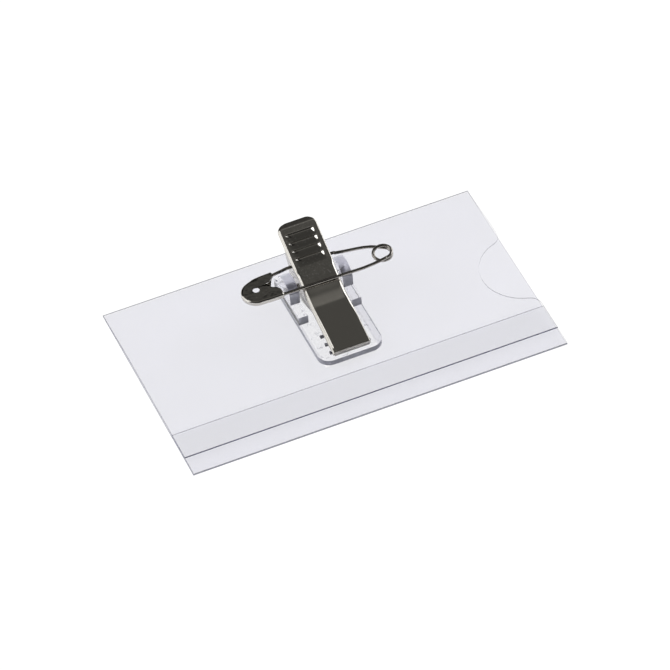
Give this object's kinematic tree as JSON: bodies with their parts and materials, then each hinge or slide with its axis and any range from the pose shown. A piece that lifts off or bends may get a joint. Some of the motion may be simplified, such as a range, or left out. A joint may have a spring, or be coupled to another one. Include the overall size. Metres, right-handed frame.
{
  "type": "name badge sleeve with clip and pin",
  "caption": "Clear landscape name-badge sleeve with a sprung metal clip on its back and a swivelling safety pin that opens out of its cap.",
  "frame": {"origin": "middle of the front panel's outer face, the face that shows when the badge is worn", "axes": "+X along the sleeve towards the thumb notch, +Y towards the sleeve's top edge and the clip's thumb tab, +Z out of the back, towards the clip"},
  "size_m": [0.09, 0.055, 0.0163],
  "materials": {
    "clear_vinyl": "clear flexible sheet, glossy",
    "clear_adhesive": "clear transfer adhesive",
    "clear_moulding": "clear hard moulding, glossy",
    "nickel_plate": "bright nickel plate on pressed steel",
    "steel_wire": "bright drawn wire"
  },
  "bodies": {
    "badge": {"sleeve": "clear_vinyl", "adhesive_pad": "clear_adhesive", "clip_base": "clear_moulding", "axle_pin": "steel_wire", "clip_spring": "steel_wire"},
    "lever": {"clip_lever": "nickel_plate"},
    "pin": {"pin_wire": "steel_wire", "pin_cap": "nickel_plate"},
    "needle": {"pin_needle": "steel_wire"}
  },
  "joints": [
    {"name": "lever_hinge", "type": "hinge", "parent": "badge", "child": "lever", "pos_m": [0.0004, 0.0106, 0.0062], "axis": [-1, 0, 0], "range_deg": [0, 30], "stiffness_Nm_per_rad": 0.02, "springref_deg": -114.59, "deforming": ["clip_spring"]},
    {"name": "pin_swivel", "type": "hinge", "parent": "lever", "child": "pin", "pos_m": [0.0004, 0.01365, 0.0098], "axis": [-1, 0, 0], "range_deg": [0, 120]},
    {"name": "needle_release", "type": "hinge", "parent": "pin", "child": "needle", "pos_m": [0.0161, 0.0065, 0.01013], "axis": [0.9789, 0.0497, -0.198], "range_deg": [0, 270]}
  ]
}
